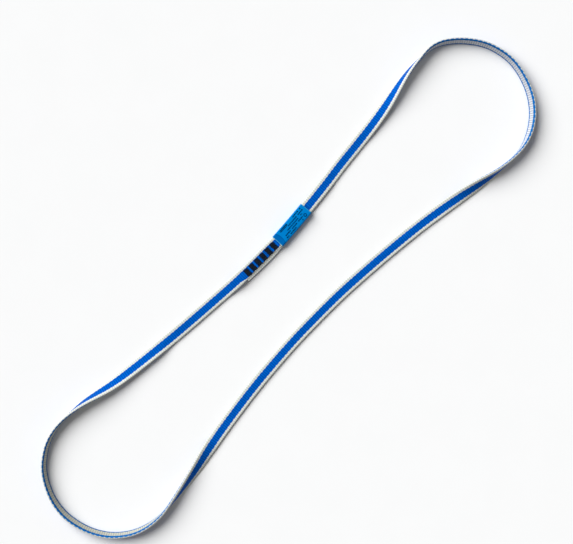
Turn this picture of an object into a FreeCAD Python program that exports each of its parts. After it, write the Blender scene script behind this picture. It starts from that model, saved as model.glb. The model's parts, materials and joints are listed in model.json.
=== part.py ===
import FreeCAD, Part
import math
import os

# Flat web sling, millimetres.
# One length of flat woven tape runs from its tail, up the spliced leg, round the upper
# bight, down the plain leg, round the lower bight and back over its own tail, where
# bar tacks sew the two layers together and a printed sleeve covers the upper half of
# the splice.  The sling lies on the plane z = 0: the two legs lie flat on it and each
# bight stands on edge.  X is the long direction, with the upper bight at +X.  Y is
# across the sling towards the spliced leg, Z is up, and the origin is the bottom centre
# of the whole object.

# ---- tape ---------------------------------------------------------------------------
TAPE_W = 11.0
TAPE_T = 2.2
EDGE_R = TAPE_T / 2.0         # round selvedges

# ---- gaps that divide the tape into pieces; each is half of the whole gap -----------
UPPER_INNER_FOLD_X = 94.0
UPPER_OUTER_FOLD_X = 136.0
LOWER_INNER_FOLD_X = -62.0
LOWER_OUTER_FOLD_X = -104.0
NECK_X = 202.8                # distance of the four necks from the middle, along X
INNER_FOLD_GAP = 1.2
OUTER_FOLD_GAP = 2.2          # wider, as the tape begins to lean beside these folds
NECK_GAP = 0.8
CROWN_GAP = 1.2
JUNCTION_GAP = 0.25           # open junction in the middle of the plain leg
CROWN_MARGIN = 30.0           # arc length skipped at each neck in the search for a crown

# ---- loft ---------------------------------------------------------------------------
LOFT_PITCH = 6.0              # longest arc length between two sections
SPLICE_LOFT_PITCH = 3.5       # the same in the two layers of the splice
TRIM_EXTRA = 5.0              # tape lofted past a fold, then trimmed off
TRIM_X = 400.0                # half length of the trimming box, beyond the whole sling

# ---- splice: ramps are (start x, end x) ---------------------------------------------
SPLICE_REACH = 130.0          # arc length at each end of the tape that follows the splice
LOWER_LIFT = 0.65             # height of the lower layer's underside
LAYER_GAP = 0.05              # clearance between the two layers
UPPER_LIFT = LOWER_LIFT + TAPE_T + LAYER_GAP
UPPER_CLIMB = (-43.0, -21.0)  # the upper layer climbs over the tail
LOWER_DESCENT = (79.0, 92.0)  # the lower layer comes down to the table
TUCK_W = 10.5                 # width of the upper layer where it is drawn in
TUCK_START = (-26.0, -14.0)
TUCK_RELEASE = (14.0, 20.0)
TUCK_RESTART = (22.0, 28.0)

ARC_R = 1000.0                # the splice follows this arc under the sleeve
ARC_CX, ARC_CY = -38.1989, 1032.4989

# ---- bar tacks ----------------------------------------------------------------------
TACK_X = (-14.74, -8.56, -2.40, 3.76, 9.92, 16.05, 24.00, 30.18, 36.36, 42.54, 48.72)
TACK_L = 4.1                  # along the tape
TACK_W = 7.2                  # across the tape
TACK_T = 0.5                  # thickness of the thread pad on each face
TACK_SINK = 0.25              # how far the thread pad pulls into the tape
TACK_ROUND = 0.2              # fillet round the exposed face of a pad
POST_L = 3.4                  # rows of thread through both layers, at each side of a tack
POST_T = 0.5
POST_INSET = 0.05             # from the side of the pad to the row
THREAD_CLEAR = 0.03           # clearance of the tape round the thread
UPPER_POCKET_H = 2.0          # cutters run past the outer faces of the tape
LOWER_POCKET_H = 1.0
POST_CUT_EXTRA = 0.5

ARC_TACKS_FROM_X = 20.0       # tacks beyond this x follow the arc
ARC_TACK_ASIDE = -0.2         # their offset from the arc, towards +Y
TURNED_TACKS_FROM_X = 12.0    # tacks from this x to the arc are turned a little
TACK_TURN = 2.2               # degrees
# (x, y) of the line of tacks below the arc
TACK_LINE = [(-20.0, 33.85), (-14.0, 33.80), (10.0, 33.80), (13.0, 33.84), (16.05, 33.97)]

JUMP_W = 0.45                 # loose thread between two tacks
JUMP_T = 0.2
JUMP_INSET = 0.55             # from the side of a tack to the middle of the thread
JUMP_END_GAP = 0.1
JUMP_CLEAR = 0.02             # above the tape

# ---- sleeve -------------------------------------------------------------------------
SLEEVE_X0 = 21.0              # lower end
SLEEVE_L = 36.8
SLEEVE_W = 12.0
SLEEVE_H = 5.8
SLEEVE_WALL = 0.2             # sides and top
SLEEVE_FLOOR = 0.35
SLEEVE_R = 1.25               # outer corner radius

# Path of the tape: (x, y, lean) of its middle at equal steps of arc length, from the
# tail to the other end.  lean, in degrees, is the turn of the tape about its own length:
# 0 lies flat with the striped face up, 90 stands on edge with that face outwards.
STATION_STEP = 7.996178
PATH = [
    (-19.30, 33.60, 0.0), (-11.31, 33.37, 0.0), (-3.31, 33.15, 0.0), (4.68, 33.04, 0.0), (12.67, 33.23, 0.0),
    (20.62, 34.08, 0.0), (28.60, 34.58, 0.0), (36.58, 35.15, 0.0), (44.55, 35.78, 0.0), (52.52, 36.47, 0.0),
    (60.46, 37.36, 0.0), (68.41, 38.20, 0.0), (76.36, 39.08, 0.0), (84.30, 40.03, 0.0), (92.23, 41.09, 0.0),
    (100.15, 42.19, 0.0), (108.08, 43.17, 0.0), (116.03, 44.01, 0.0), (123.98, 44.86, 0.0), (131.93, 45.75, 1.5),
    (139.87, 46.66, 6.1), (147.80, 47.71, 11.0), (155.71, 48.90, 16.5), (163.59, 50.27, 24.1), (171.42, 51.86, 33.9),
    (179.22, 53.63, 44.6), (187.03, 55.36, 56.0), (194.89, 56.84, 67.2), (202.82, 57.84, 77.0), (210.80, 58.29, 85.5),
    (218.79, 58.53, 92.3), (226.70, 57.52, 97.0), (234.11, 54.56, 99.3), (240.79, 50.18, 99.9), (246.78, 44.89, 100.3),
    (252.09, 38.92, 100.9), (256.73, 32.41, 101.0), (260.47, 25.35, 100.7), (263.04, 17.79, 100.7), (264.67, 9.97, 101.2),
    (265.11, 1.99, 101.7), (264.16, -5.94, 101.8), (262.21, -13.69, 102.2), (259.52, -21.22, 103.1), (255.91, -28.35, 104.0),
    (251.38, -34.93, 104.1), (245.96, -40.80, 103.5), (239.72, -45.78, 102.2), (232.89, -49.93, 99.9), (225.57, -53.12, 96.3),
    (217.83, -55.08, 91.6), (209.85, -55.51, 88.2), (201.88, -54.97, 84.6), (193.92, -54.17, 76.7), (186.03, -52.91, 64.7),
    (178.18, -51.38, 50.8), (170.34, -49.77, 38.1), (162.51, -48.16, 28.2), (154.66, -46.67, 18.5), (146.78, -45.27, 9.7),
    (138.89, -43.96, 3.4), (130.99, -42.72, 0.0), (123.09, -41.54, 0.0), (115.17, -40.44, 0.0), (107.23, -39.50, 0.0),
    (99.28, -38.65, 0.0), (91.32, -37.85, 0.0), (83.36, -37.11, 0.0), (75.39, -36.41, 0.0), (67.42, -35.78, 0.0),
    (59.45, -35.19, 0.0), (51.47, -34.66, 0.0), (43.49, -34.17, 0.0), (35.50, -33.72, 0.0), (27.51, -33.40, 0.0),
    (19.52, -33.23, 0.0), (11.52, -33.17, 0.0), (3.53, -33.18, 0.0), (-4.47, -33.26, 0.0), (-12.46, -33.37, 0.0),
    (-20.46, -33.53, 0.0), (-28.45, -33.83, 0.0), (-36.43, -34.26, 0.0), (-44.41, -34.76, 0.0), (-52.39, -35.33, 0.0),
    (-60.36, -35.98, 0.0), (-68.33, -36.67, 0.0), (-76.28, -37.49, 0.0), (-84.22, -38.42, 0.0), (-92.15, -39.44, 0.0),
    (-100.07, -40.53, 0.0), (-107.99, -41.67, 0.0), (-115.90, -42.85, 0.0), (-123.79, -44.13, 0.0), (-131.66, -45.52, 2.1),
    (-139.54, -46.93, 11.0), (-147.38, -48.47, 23.3), (-155.19, -50.20, 33.5), (-163.02, -51.84, 43.0), (-170.87, -53.35, 53.1),
    (-178.74, -54.73, 62.5), (-186.64, -56.01, 70.5), (-194.55, -57.13, 79.5), (-202.49, -58.09, 87.8), (-210.47, -58.53, 92.7),
    (-218.42, -57.74, 95.5), (-226.15, -55.75, 97.2), (-233.54, -52.70, 98.0), (-240.43, -48.65, 98.6), (-246.67, -43.66, 99.3),
    (-252.15, -37.85, 100.2), (-256.63, -31.23, 100.7), (-260.17, -24.07, 101.4), (-262.74, -16.51, 102.1), (-264.43, -8.69, 102.7),
    (-265.14, -0.74, 102.5), (-264.58, 7.23, 101.3), (-262.88, 15.04, 99.7), (-260.06, 22.51, 98.3), (-256.39, 29.61, 97.6),
    (-251.85, 36.18, 97.4), (-246.26, 41.89, 96.7), (-239.85, 46.67, 96.1), (-232.90, 50.60, 95.9), (-225.46, 53.52, 95.4),
    (-217.67, 55.30, 94.2), (-209.70, 55.80, 91.7), (-201.72, 55.32, 86.4), (-193.76, 54.54, 77.2), (-185.88, 53.24, 66.5),
    (-178.08, 51.47, 56.0), (-170.31, 49.57, 46.1), (-162.50, 47.86, 37.3), (-154.63, 46.48, 30.2), (-146.71, 45.36, 25.1),
    (-138.77, 44.37, 21.8), (-130.83, 43.45, 20.0), (-122.88, 42.56, 18.1), (-114.93, 41.74, 13.3), (-106.97, 41.00, 5.4),
    (-99.01, 40.27, 0.4), (-91.04, 39.56, 0.0), (-83.07, 38.91, 0.0), (-75.10, 38.31, 0.0), (-67.12, 37.73, 0.0),
    (-59.15, 37.17, 0.0), (-51.17, 36.64, 0.0), (-43.19, 36.09, 0.0), (-35.21, 35.57, 0.0), (-27.23, 35.11, 0.0),
    (-19.24, 34.83, 0.0), (-11.24, 34.65, 0.0), (-3.25, 34.58, 0.0), (4.75, 34.68, 0.0), (12.74, 34.76, 0.0),
    (20.72, 34.38, 0.0), (28.70, 34.89, 0.0), (36.68, 35.46, 0.0), (44.65, 36.09, 0.0), (52.61, 36.78, 0.0),
]
LENGTH = STATION_STEP * (len(PATH) - 1)


# ---- path of the tape; "arc" is the arc length from the tail ------------------------
def beyond(end, neighbour):
    """The station one step past an end of the path, in a straight line."""
    return [2 * a - b for a, b in zip(end, neighbour)]


PADDED_PATH = [beyond(PATH[0], PATH[1])] + PATH + [beyond(PATH[-1], PATH[-2])]


def path(arc):
    """x, y, lean at an arc length, by a Catmull-Rom curve through the stations."""
    place = min(len(PATH) - 1.0001, max(0.0, arc / STATION_STEP))
    i = int(place)
    t = place - i
    return [
        0.5
        * (
            2 * b
            + (c - a) * t
            + (2 * a - 5 * b + 4 * c - d) * t * t
            + (3 * b - a - 3 * c + d) * t * t * t
        )
        for a, b, c, d in zip(*PADDED_PATH[i:i + 4])
    ]


def heading(arc):
    """Unit direction of travel in plan."""
    before, after = path(max(0.0, arc - 0.5)), path(min(LENGTH, arc + 0.5))
    dx, dy = after[0] - before[0], after[1] - before[1]
    distance = math.hypot(dx, dy)
    return dx / distance, dy / distance


def arc_where(axis, value, low, high):
    """Arc length between low and high where x (axis 0) or y (axis 1) crosses value."""
    start_side = path(low)[axis] - value
    for _ in range(60):
        middle = (low + high) / 2.0
        if (path(middle)[axis] - value) * start_side > 0:
            low = middle
        else:
            high = middle
    return (low + high) / 2.0


# ---- tape ---------------------------------------------------------------------------
def ramp(x, span):
    """Smooth step from 0 at the start of span to 1 at its end."""
    u = min(1.0, max(0.0, (x - span[0]) / (span[1] - span[0])))
    return u * u * (3.0 - 2.0 * u)


def lift_and_width(arc, x):
    """Height of the tape's underside above z = 0, and its width."""
    if arc < SPLICE_REACH:  # lower layer
        return LOWER_LIFT * (1.0 - ramp(x, LOWER_DESCENT)), TAPE_W
    if arc > LENGTH - SPLICE_REACH:  # upper layer
        tuck = ramp(x, TUCK_START) * (1.0 - ramp(x, TUCK_RELEASE)) + ramp(x, TUCK_RESTART)
        return UPPER_LIFT * ramp(x, UPPER_CLIMB), TAPE_W - (TAPE_W - TUCK_W) * tuck
    return 0.0, TAPE_W


def section(arc):
    """The tape's cross-section: a flat bar with round selvedges."""
    x, y, lean = path(arc)
    dx, dy = heading(arc)
    lift, width = lift_and_width(arc, x)
    outward = FreeCAD.Vector(-dy, dx, 0)
    up = FreeCAD.Vector(0, 0, 1)
    angle = math.radians(lean)
    across = outward * -math.cos(angle) + up * math.sin(angle)
    normal = outward * math.sin(angle) + up * math.cos(angle)
    flat = width / 2.0 - EDGE_R
    middle = FreeCAD.Vector(x, y, flat * abs(math.sin(angle)) + EDGE_R + lift)
    p1, p2 = [middle + across * side + normal * EDGE_R for side in (-flat, flat)]
    p3, p4 = [middle + across * side - normal * EDGE_R for side in (flat, -flat)]
    return Part.Wire(
        [
            Part.LineSegment(p1, p2).toShape(),
            Part.Arc(p2, middle + across * (width / 2.0), p3).toShape(),
            Part.LineSegment(p3, p4).toShape(),
            Part.Arc(p4, middle - across * (width / 2.0), p1).toShape(),
        ]
    )


def tape(start, end):
    """The tape between two divisions, each given as (arc, plane x or None, half gap).

    A division with a plane is trimmed on constant x; the others have square ends.
    """
    start_arc, start_x, start_gap = start
    end_arc, end_x, end_gap = end
    towards_plus_x = path(start_arc)[0] < path(end_arc)[0]
    sign = 1 if towards_plus_x else -1
    first, last = start_arc + start_gap, end_arc - end_gap
    start_limit, end_limit = -sign * TRIM_X, sign * TRIM_X
    if start_x is not None:
        first = start_arc - TRIM_EXTRA
        start_limit = start_x + sign * start_gap
    if end_x is not None:
        last = end_arc + TRIM_EXTRA
        end_limit = end_x - sign * end_gap

    in_splice = start_arc == 0.0 or end_arc == LENGTH
    pitch = SPLICE_LOFT_PITCH if in_splice else LOFT_PITCH
    count = max(3, int(math.ceil((last - first) / pitch)))
    sections = [section(first + (last - first) * i / count) for i in range(count + 1)]
    solid = Part.makeLoft(sections, True, False)
    if start_x is not None or end_x is not None:
        low, high = sorted((start_limit, end_limit))
        keep = Part.makeBox(high - low, 400.0, 60.0, FreeCAD.Vector(low, -200.0, -20.0))
        solid = solid.common(keep)
    return solid


def fold(x, gap, low, high):
    """Division on a plane of constant x, found between two arc lengths."""
    return arc_where(0, x, low, high), x, gap


def neck(x, low, high):
    return arc_where(0, x, low, high), None, NECK_GAP


def crown(neck_in, neck_out):
    """Division of a bight half way between its necks in y."""
    middle_y = (path(neck_in[0])[1] + path(neck_out[0])[1]) / 2.0
    low, high = neck_in[0] + CROWN_MARGIN, neck_out[0] - CROWN_MARGIN
    return arc_where(1, middle_y, low, high), None, CROWN_GAP


def tape_pieces():
    """Every piece of the tape by name, in order from the tail."""
    upper_in, upper_out = neck(NECK_X, 180, 260), neck(NECK_X, 370, 460)
    lower_in, lower_out = neck(-NECK_X, 700, 860), neck(-NECK_X, 960, 1100)
    divisions = [
        (0.0, None, 0.0),
        fold(UPPER_INNER_FOLD_X, INNER_FOLD_GAP, 60, 180),
        fold(UPPER_OUTER_FOLD_X, OUTER_FOLD_GAP, 100, 220),
        upper_in,
        crown(upper_in, upper_out),
        upper_out,
        fold(UPPER_OUTER_FOLD_X, OUTER_FOLD_GAP, 420, 560),
        fold(UPPER_INNER_FOLD_X, INNER_FOLD_GAP, 440, 600),
        fold(0.0, JUNCTION_GAP, 520, 720),
        fold(LOWER_INNER_FOLD_X, INNER_FOLD_GAP, 600, 760),
        fold(LOWER_OUTER_FOLD_X, OUTER_FOLD_GAP, 640, 800),
        lower_in,
        crown(lower_in, lower_out),
        lower_out,
        fold(LOWER_OUTER_FOLD_X, OUTER_FOLD_GAP, 1060, 1200),
        fold(LOWER_INNER_FOLD_X, INNER_FOLD_GAP, 1100, LENGTH - 60),
        (LENGTH, None, 0.0),
    ]
    names = [
        "splice_lower_layer", "spliced_leg_upper_inner", "spliced_leg_upper_outer",
        "upper_bight_near", "upper_bight_far",
        "plain_leg_upper_outer", "plain_leg_upper_inner", "plain_leg_middle_upper",
        "plain_leg_middle_lower", "plain_leg_lower_inner", "plain_leg_lower_outer",
        "lower_bight_far", "lower_bight_near",
        "spliced_leg_lower_outer", "spliced_leg_lower_inner", "splice_upper_layer",
    ]
    return {
        "tape_" + name: tape(start, end)
        for name, start, end in zip(names, divisions, divisions[1:])
    }


# ---- bar tacks ----------------------------------------------------------------------
# Each tack is a pad of thread on the top face and one on the underside, joined by a row
# of thread through both layers along each side of the pad.
SPLICE_TOP = UPPER_LIFT + TAPE_T
SPLICE_BOTTOM = LOWER_LIFT
POST_Y = TACK_W / 2.0 - POST_T / 2.0 - POST_INSET


def arc_bearing(x):
    """Angle round the splice's arc at x."""
    return math.asin((x - ARC_CX) / ARC_R)


def on_arc(bearing, aside):
    """x, y at a bearing, moved aside from the arc; positive is towards its centre (+Y)."""
    radius = ARC_R - aside
    return ARC_CX + radius * math.sin(bearing), ARC_CY - radius * math.cos(bearing)


def placed(shape, x, y, angle):
    out = shape.copy()
    out.rotate(FreeCAD.Vector(0, 0, 0), FreeCAD.Vector(0, 0, 1), math.degrees(angle))
    out.translate(FreeCAD.Vector(x, y, 0))
    return out


def block(length, width, z0, z1, y=0.0):
    """Box from z0 to z1, centred in plan on (0, y)."""
    corner = FreeCAD.Vector(-length / 2, y - width / 2, z0)
    return Part.makeBox(length, width, z1 - z0, corner)


def tack_place(x):
    """x, y and angle of the tack at x."""
    if x > ARC_TACKS_FROM_X:
        bearing = arc_bearing(x)
        return (*on_arc(bearing, ARC_TACK_ASIDE), bearing)
    (x0, y0), (x1, y1) = next(
        pair for pair in zip(TACK_LINE, TACK_LINE[1:]) if x <= pair[1][0]
    )
    turn = 0.0 if x < TURNED_TACKS_FROM_X else TACK_TURN
    return x, y0 + (y1 - y0) * (x - x0) / (x1 - x0), math.radians(turn)


def thread_pad(z0, rounded_z):
    pad = block(TACK_L, TACK_W, z0, z0 + TACK_T)
    edges = [e for e in pad.Edges if abs(e.CenterOfMass.z - rounded_z) < 1e-6]
    return pad.makeFillet(TACK_ROUND, edges)


def bar_tack():
    """One tack, centred on the origin in plan."""
    top_z = SPLICE_TOP - TACK_SINK
    bottom_z = SPLICE_BOTTOM - TACK_T + TACK_SINK
    top = thread_pad(top_z, top_z + TACK_T)
    bottom = thread_pad(bottom_z, bottom_z)
    posts = [block(POST_L, POST_T, SPLICE_BOTTOM, SPLICE_TOP, y) for y in (POST_Y, -POST_Y)]
    return top.fuse([bottom] + posts).removeSplitter()


def tack_cutters():
    """Pocket in the upper layer, pocket in the lower layer, and the slots through both."""
    length, width = TACK_L + 2 * THREAD_CLEAR, TACK_W + 2 * THREAD_CLEAR
    upper_z = SPLICE_TOP - TACK_SINK - THREAD_CLEAR
    lower_z = SPLICE_BOTTOM + TACK_SINK + THREAD_CLEAR
    slots = [
        block(POST_L + 2 * THREAD_CLEAR, POST_T + 2 * THREAD_CLEAR,
              SPLICE_BOTTOM - POST_CUT_EXTRA, SPLICE_TOP + POST_CUT_EXTRA, y)
        for y in (-POST_Y, POST_Y)
    ]
    upper_pocket = block(length, width, upper_z, upper_z + UPPER_POCKET_H)
    lower_pocket = block(length, width, lower_z - LOWER_POCKET_H, lower_z)
    return upper_pocket, lower_pocket, slots


def jump_end(place, side):
    """Where loose thread meets a tack: side is 1 at its upper end, -1 at its lower."""
    x, y, angle = place
    along = side * (TACK_L / 2 + JUMP_END_GAP)
    across = -(TACK_W / 2.0 - JUMP_INSET)
    return (x - across * math.sin(angle) + along * math.cos(angle),
            y + across * math.cos(angle) + along * math.sin(angle))


def thread_jumps(places):
    """Loose thread from each tack to the next, along the inner (-Y) side of the splice."""
    jumps = []
    bottom = SPLICE_TOP + JUMP_CLEAR
    for place, next_place in zip(places, places[1:]):
        x0, y0 = jump_end(place, 1)
        x1, y1 = jump_end(next_place, -1)
        thread = block(math.hypot(x1 - x0, y1 - y0), JUMP_W, bottom, bottom + JUMP_T)
        angle = math.atan2(y1 - y0, x1 - x0)
        jumps.append(placed(thread, (x0 + x1) / 2, (y0 + y1) / 2, angle))
    return Part.makeCompound(jumps)


def add_tacks(shapes):
    """Add the tacks and their loose thread, and make room for them in both layers."""
    places = [tack_place(x) for x in TACK_X]
    tack = bar_tack()
    upper_pocket, lower_pocket, slots = tack_cutters()
    for i, place in enumerate(places):
        holes = [placed(slot, *place) for slot in slots]
        for layer, pocket in (("upper", upper_pocket), ("lower", lower_pocket)):
            name = "tape_splice_%s_layer" % layer
            shapes[name] = shapes[name].cut([placed(pocket, *place)] + holes)
        shapes["bar_tack_%02d" % (i + 1)] = placed(tack, *place)
    shapes["tack_thread_jumps"] = thread_jumps(places)


# ---- printed sleeve -----------------------------------------------------------------
def sleeve_solid(width, z0, z1, radius):
    """Rounded rectangle across the arc at the sleeve's lower end, swept along the arc."""
    half = width / 2.0
    inset = radius * (1 - math.sqrt(0.5))  # middle of a corner arc, from each side
    outline = [
        (-half + radius, z0), (half - radius, z0), (half - inset, z0 + inset),
        (half, z0 + radius), (half, z1 - radius), (half - inset, z1 - inset),
        (half - radius, z1), (-half + radius, z1), (-half + inset, z1 - inset),
        (-half, z1 - radius), (-half, z0 + radius), (-half + inset, z0 + inset),
    ]
    bearing = arc_bearing(SLEEVE_X0)
    points = [FreeCAD.Vector(*on_arc(bearing, aside), z) for aside, z in outline]
    edges = []
    for i in range(0, 12, 3):  # one side and the corner after it
        edges.append(Part.LineSegment(points[i], points[i + 1]).toShape())
        corner = Part.Arc(points[i + 1], points[i + 2], points[(i + 3) % 12])
        edges.append(corner.toShape())
    centre = FreeCAD.Vector(ARC_CX, ARC_CY, 0)
    turn = math.degrees(SLEEVE_L / ARC_R)
    return Part.Face(Part.Wire(edges)).revolve(centre, FreeCAD.Vector(0, 0, 1), turn)


def label_sleeve():
    outer = sleeve_solid(SLEEVE_W, 0.0, SLEEVE_H, SLEEVE_R)
    inner = sleeve_solid(SLEEVE_W - 2 * SLEEVE_WALL, SLEEVE_FLOOR, SLEEVE_H - SLEEVE_WALL,
                         SLEEVE_R - SLEEVE_WALL)
    return outer.cut(inner)


# ---- build and export ---------------------------------------------------------------
shapes = tape_pieces()
add_tacks(shapes)
shapes["label_sleeve"] = label_sleeve()

os.makedirs("parts", exist_ok=True)
for name, shape in shapes.items():
    shape.exportStep(os.path.join("parts", name + ".step"))
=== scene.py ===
import json
import math

import bpy
import numpy as np
from mathutils import Matrix, Vector

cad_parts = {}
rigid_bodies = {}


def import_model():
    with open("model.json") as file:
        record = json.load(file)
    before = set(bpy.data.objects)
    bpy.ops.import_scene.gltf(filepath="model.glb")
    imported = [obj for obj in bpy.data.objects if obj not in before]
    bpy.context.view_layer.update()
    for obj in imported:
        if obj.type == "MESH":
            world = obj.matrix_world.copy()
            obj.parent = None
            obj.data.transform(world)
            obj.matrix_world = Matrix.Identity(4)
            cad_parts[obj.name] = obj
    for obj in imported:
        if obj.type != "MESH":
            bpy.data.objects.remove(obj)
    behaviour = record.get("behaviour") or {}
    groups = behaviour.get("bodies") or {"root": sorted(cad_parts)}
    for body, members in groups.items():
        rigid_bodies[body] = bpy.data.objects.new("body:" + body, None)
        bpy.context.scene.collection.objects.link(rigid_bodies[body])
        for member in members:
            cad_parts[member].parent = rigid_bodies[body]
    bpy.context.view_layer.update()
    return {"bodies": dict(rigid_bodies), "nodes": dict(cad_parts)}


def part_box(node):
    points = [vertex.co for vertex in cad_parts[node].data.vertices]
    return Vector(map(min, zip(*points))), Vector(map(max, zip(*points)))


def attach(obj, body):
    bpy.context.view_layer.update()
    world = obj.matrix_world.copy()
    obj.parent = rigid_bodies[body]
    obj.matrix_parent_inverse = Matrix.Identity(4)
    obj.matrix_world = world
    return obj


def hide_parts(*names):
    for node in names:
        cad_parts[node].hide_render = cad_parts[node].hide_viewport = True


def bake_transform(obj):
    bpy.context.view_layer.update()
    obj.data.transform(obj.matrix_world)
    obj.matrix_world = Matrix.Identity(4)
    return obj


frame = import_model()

MM = 0.001

# ---------------------------------------------------------------------------------
# the tape's path, the same stations as the CAD: x, y, lean at equal arc lengths (mm)
# ---------------------------------------------------------------------------------
STEP = 7.996178
PATH = np.array([
    (-19.300, 33.600, 0.00),
    (-11.307, 33.373, 0.00),
    (-3.314, 33.147, 0.00),
    (4.681, 33.042, 0.00),
    (12.674, 33.230, 0.00),
    (20.622, 34.081, 0.00),
    (28.602, 34.583, 0.00),
    (36.578, 35.149, 0.00),
    (44.549, 35.778, 0.00),
    (52.515, 36.472, 0.00),
    (60.461, 37.363, 0.00),
    (68.414, 38.198, 0.00),
    (76.361, 39.083, 0.00),
    (84.301, 40.030, 0.00),
    (92.226, 41.089, 0.00),
    (100.145, 42.194, 0.00),
    (108.082, 43.169, 0.00),
    (116.034, 44.012, 0.00),
    (123.985, 44.857, 0.00),
    (131.931, 45.754, 1.47),
    (139.875, 46.664, 6.07),
    (147.802, 47.709, 10.97),
    (155.709, 48.898, 16.55),
    (163.587, 50.270, 24.10),
    (171.422, 51.863, 33.91),
    (179.221, 53.628, 44.59),
    (187.026, 55.365, 56.04),
    (194.885, 56.836, 67.20),
    (202.816, 57.844, 76.98),
    (210.799, 58.290, 85.46),
    (218.790, 58.528, 92.25),
    (226.703, 57.522, 97.00),
    (234.109, 54.561, 99.33),
    (240.788, 50.179, 99.86),
    (246.781, 44.893, 100.30),
    (252.088, 38.918, 100.89),
    (256.729, 32.411, 100.96),
    (260.470, 25.354, 100.71),
    (263.041, 17.790, 100.69),
    (264.674, 9.967, 101.21),
    (265.106, 1.993, 101.66),
    (264.157, -5.939, 101.84),
    (262.214, -13.692, 102.17),
    (259.516, -21.215, 103.05),
    (255.913, -28.346, 103.98),
    (251.383, -34.928, 104.08),
    (245.965, -40.798, 103.49),
    (239.722, -45.784, 102.22),
    (232.890, -49.929, 99.95),
    (225.568, -53.124, 96.32),
    (217.825, -55.076, 91.64),
    (209.852, -55.511, 88.24),
    (201.875, -54.971, 84.57),
    (193.920, -54.170, 76.69),
    (186.026, -52.905, 64.75),
    (178.177, -51.379, 50.83),
    (170.345, -49.766, 38.05),
    (162.511, -48.164, 28.20),
    (154.656, -46.666, 18.51),
    (146.783, -45.270, 9.73),
    (138.894, -43.963, 3.42),
    (130.995, -42.723, 0.00),
    (123.087, -41.536, 0.00),
    (115.166, -40.444, 0.00),
    (107.226, -39.497, 0.00),
    (99.275, -38.649, 0.00),
    (91.319, -37.851, 0.00),
    (83.358, -37.106, 0.00),
    (75.392, -36.412, 0.00),
    (67.421, -35.779, 0.00),
    (59.446, -35.191, 0.00),
    (51.468, -34.657, 0.00),
    (43.487, -34.166, 0.00),
    (35.503, -33.718, 0.00),
    (27.513, -33.402, 0.00),
    (19.519, -33.233, 0.00),
    (11.523, -33.168, 0.00),
    (3.527, -33.180, 0.00),
    (-4.469, -33.263, 0.00),
    (-12.464, -33.365, 0.00),
    (-20.459, -33.526, 0.00),
    (-28.449, -33.828, 0.00),
    (-36.434, -34.258, 0.00),
    (-44.414, -34.756, 0.00),
    (-52.390, -35.330, 0.00),
    (-60.359, -35.982, 0.00),
    (-68.326, -36.675, 0.00),
    (-76.280, -37.487, 0.00),
    (-84.222, -38.419, 0.00),
    (-92.152, -39.441, 0.00),
    (-100.075, -40.526, 0.00),
    (-107.989, -41.666, 0.00),
    (-115.897, -42.852, 0.00),
    (-123.789, -44.134, 0.00),
    (-131.664, -45.524, 2.08),
    (-139.536, -46.925, 11.04),
    (-147.382, -48.470, 23.25),
    (-155.188, -50.200, 33.50),
    (-163.015, -51.836, 42.99),
    (-170.866, -53.351, 53.13),
    (-178.742, -54.735, 62.47),
    (-186.636, -56.010, 70.51),
    (-194.553, -57.131, 79.54),
    (-202.491, -58.087, 87.82),
    (-210.470, -58.527, 92.70),
    (-218.419, -57.745, 95.45),
    (-226.154, -55.745, 97.15),
    (-233.541, -52.700, 98.00),
    (-240.427, -48.649, 98.62),
    (-246.671, -43.664, 99.33),
    (-252.149, -37.850, 100.17),
    (-256.627, -31.234, 100.75),
    (-260.173, -24.073, 101.40),
    (-262.741, -16.507, 102.13),
    (-264.427, -8.694, 102.68),
    (-265.143, -0.738, 102.52),
    (-264.579, 7.230, 101.33),
    (-262.876, 15.036, 99.70),
    (-260.056, 22.512, 98.27),
    (-256.388, 29.613, 97.64),
    (-251.846, 36.184, 97.38),
    (-246.256, 41.888, 96.72),
    (-239.853, 46.668, 96.10),
    (-232.898, 50.602, 95.93),
    (-225.461, 53.520, 95.45),
    (-217.674, 55.299, 94.19),
    (-209.702, 55.798, 91.71),
    (-201.722, 55.322, 86.42),
    (-193.764, 54.543, 77.17),
    (-185.877, 53.238, 66.51),
    (-178.079, 51.471, 55.95),
    (-170.312, 49.572, 46.09),
    (-162.502, 47.860, 37.32),
    (-154.626, 46.482, 30.16),
    (-146.709, 45.356, 25.08),
    (-138.774, 44.372, 21.85),
    (-130.831, 43.449, 20.03),
    (-122.885, 42.559, 18.10),
    (-114.931, 41.736, 13.34),
    (-106.969, 41.003, 5.35),
    (-99.006, 40.269, 0.41),
    (-91.042, 39.559, 0.00),
    (-83.072, 38.913, 0.00),
    (-75.098, 38.313, 0.00),
    (-67.123, 37.730, 0.00),
    (-59.146, 37.175, 0.00),
    (-51.168, 36.638, 0.00),
    (-43.191, 36.089, 0.00),
    (-35.211, 35.572, 0.00),
    (-27.228, 35.115, 0.00),
    (-19.237, 34.834, 0.00),
    (-11.243, 34.648, 0.00),
    (-3.247, 34.582, 0.00),
    (4.748, 34.684, 0.00),
    (12.744, 34.763, 0.00),
    (20.721, 34.381, 0.00),
    (28.701, 34.889, 0.00),
    (36.677, 35.456, 0.00),
    (44.648, 36.087, 0.00),
    (52.614, 36.781, 0.00),
])
LENGTH = STEP * (len(PATH) - 1)
W0, T0 = 11.0, 2.2
R = T0 / 2
LIFT, GAP = 0.65, 0.05
TUCK = 10.5
TACK_X = (-14.74, -8.56, -2.40, 3.76, 9.92, 16.05, 24.00, 30.18, 36.36, 42.54, 48.72)
TACK_L, TACK_W = 4.1, 7.2
Z_TOP = LIFT + 2 * T0 + GAP
Z_BOT = LIFT
ARC_R, ARC_CX, ARC_CY = 1000.0, -38.1989, 1032.4989
SLEEVE_X0, SLEEVE_L, SLEEVE_W, SLEEVE_H = 21.0, 36.8, 12.0, 5.8
PITCH = 1.93  # one weft pick, so one row of the weave
NECK_X = 202.8


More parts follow.
